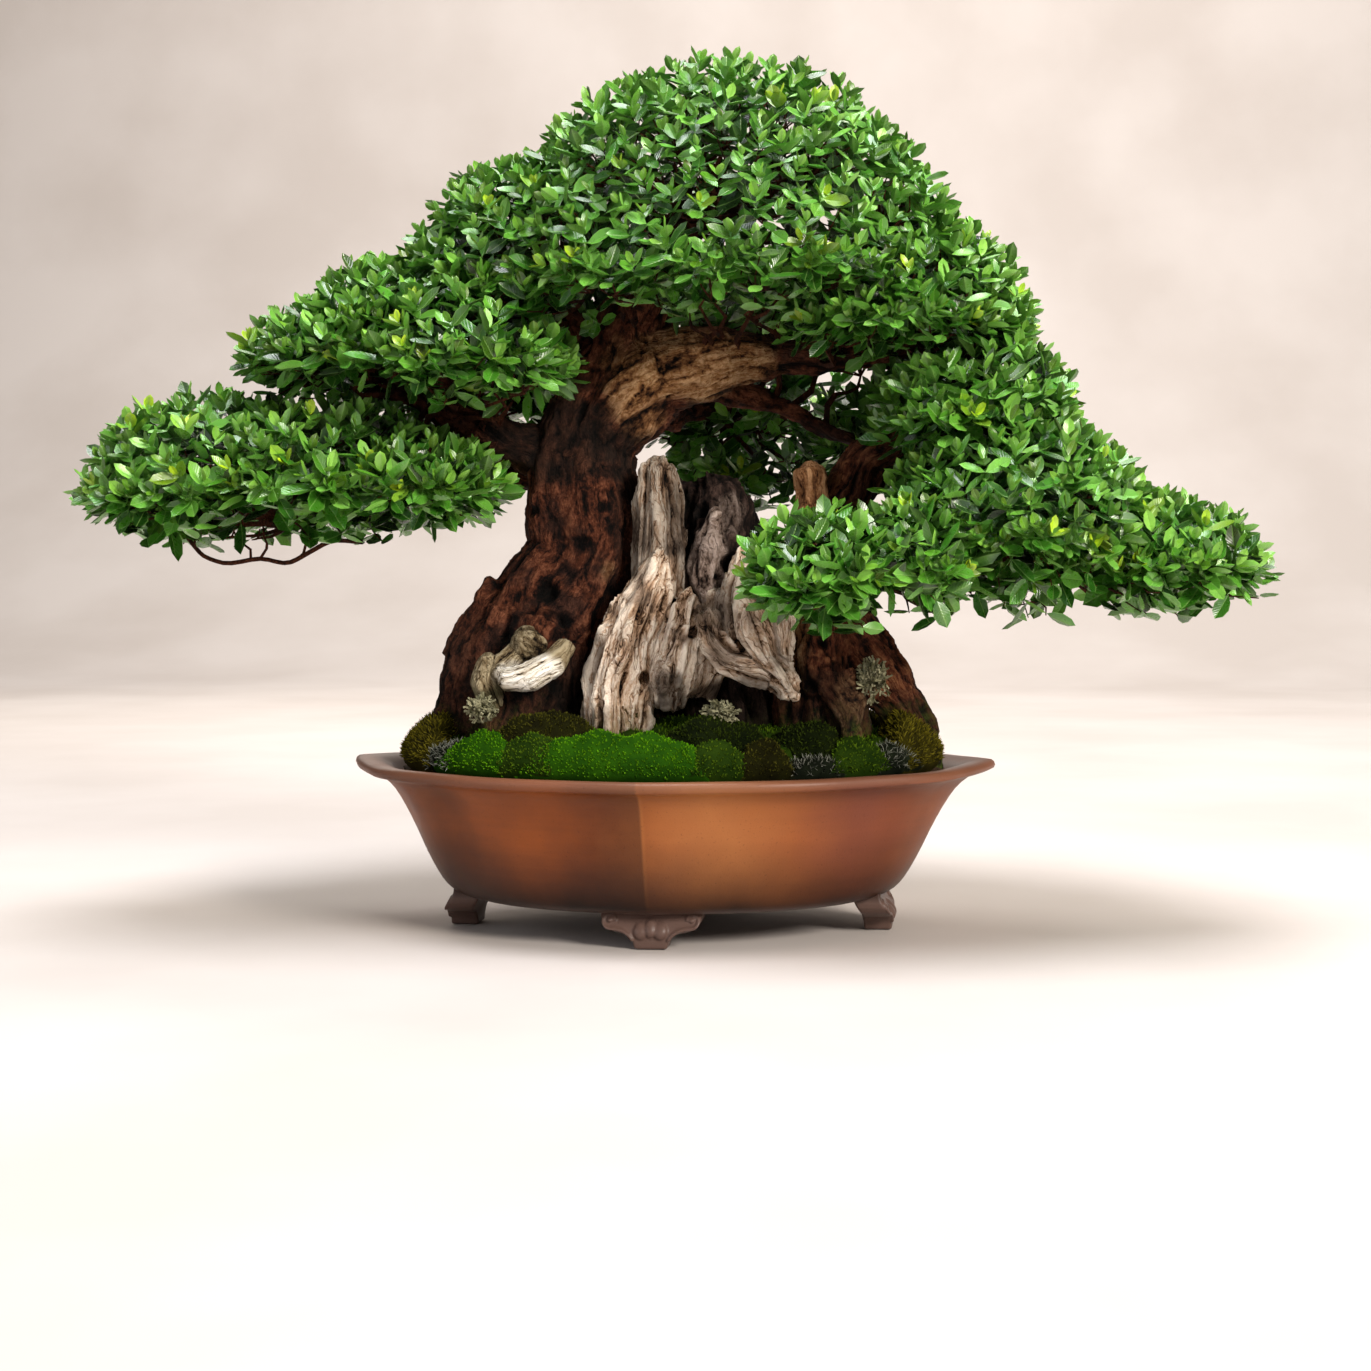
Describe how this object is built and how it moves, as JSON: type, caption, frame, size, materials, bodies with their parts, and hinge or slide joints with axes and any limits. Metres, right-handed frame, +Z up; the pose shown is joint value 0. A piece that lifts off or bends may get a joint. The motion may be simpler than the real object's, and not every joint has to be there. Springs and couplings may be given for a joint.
{
  "type": "myrtle bonsai in a clay pot",
  "caption": "Old myrtle bonsai with spreading leafy pads, fluted deadwood and moss cushions, rooted in a flared brown clay pot on cloud-shaped feet.",
  "frame": {"origin": "middle of the whole outline's bottom, on the surface that the pot's feet stand on", "axes": "+X to the right along the long side of the pot, +Y to the back, +Z up"},
  "size_m": [0.872, 0.4642, 0.6319],
  "materials": {
    "clay": "satin unglazed brown clay, darker at the base and greyer on the lip",
    "screen": "black plastic drain mesh",
    "soil": "dark granular bonsai soil of bark and grit",
    "bark": "dark reddish brown fibrous bark",
    "right_bark": "reddish brown fibrous bark with pale streaks",
    "deadwood": "bleached tan deadwood with deep upright flutes",
    "dark_deadwood": "weathered dark grey brown deadwood",
    "worn_root": "smooth pale worn root",
    "lichen": "matt grey green lichen",
    "moss_bright": "bright green short moss",
    "moss_mid": "mid green short moss",
    "moss_dark": "dark green moss",
    "moss_olive": "olive gold moss with fine hairs",
    "moss_brown": "olive brown moss",
    "moss_hoary": "grey moss with white hair tips",
    "leaf": "glossy mid green leaves with yellow green tips"
  },
  "bodies": {
    "root": {"pot": "clay", "drain_screen_left": "screen", "drain_screen_right": "screen", "soil": "soil", "live_trunk": "bark", "right_trunk": "right_bark", "deadwood_front": "deadwood", "deadwood_back": "dark_deadwood", "worn_root": "worn_root", "moss_left_bank": "moss_olive", "moss_left_hoary": "moss_hoary", "moss_front_left_bright": "moss_bright", "moss_front_left_small": "moss_mid", "moss_left_brown": "moss_brown", "moss_centre_bright": "moss_bright", "moss_centre_small": "moss_mid", "moss_centre_dark": "moss_dark", "moss_front_hoary": "moss_hoary", "moss_front_mid": "moss_mid", "moss_right_mid": "moss_mid", "moss_right_dark": "moss_dark", "moss_right_hoary": "moss_hoary", "moss_right_bank": "moss_olive", "moss_back_left": "moss_mid", "moss_back_centre": "moss_bright", "moss_back_right": "moss_dark", "moss_back_right_bank": "moss_olive", "lichen_left": "lichen", "lichen_centre": "lichen", "lichen_right": "lichen", "crown_foliage": "leaf", "crown_right_foliage": "leaf", "crown_left_foliage": "leaf", "left_upper_foliage": "leaf", "left_lower_foliage": "leaf", "right_upper_foliage": "leaf", "right_lower_foliage": "leaf", "right_front_foliage": "leaf", "back_centre_foliage": "leaf", "back_left_foliage": "leaf", "back_right_foliage": "leaf", "back_left_low_foliage": "leaf", "back_right_low_foliage": "leaf"}
  },
  "joints": []
}
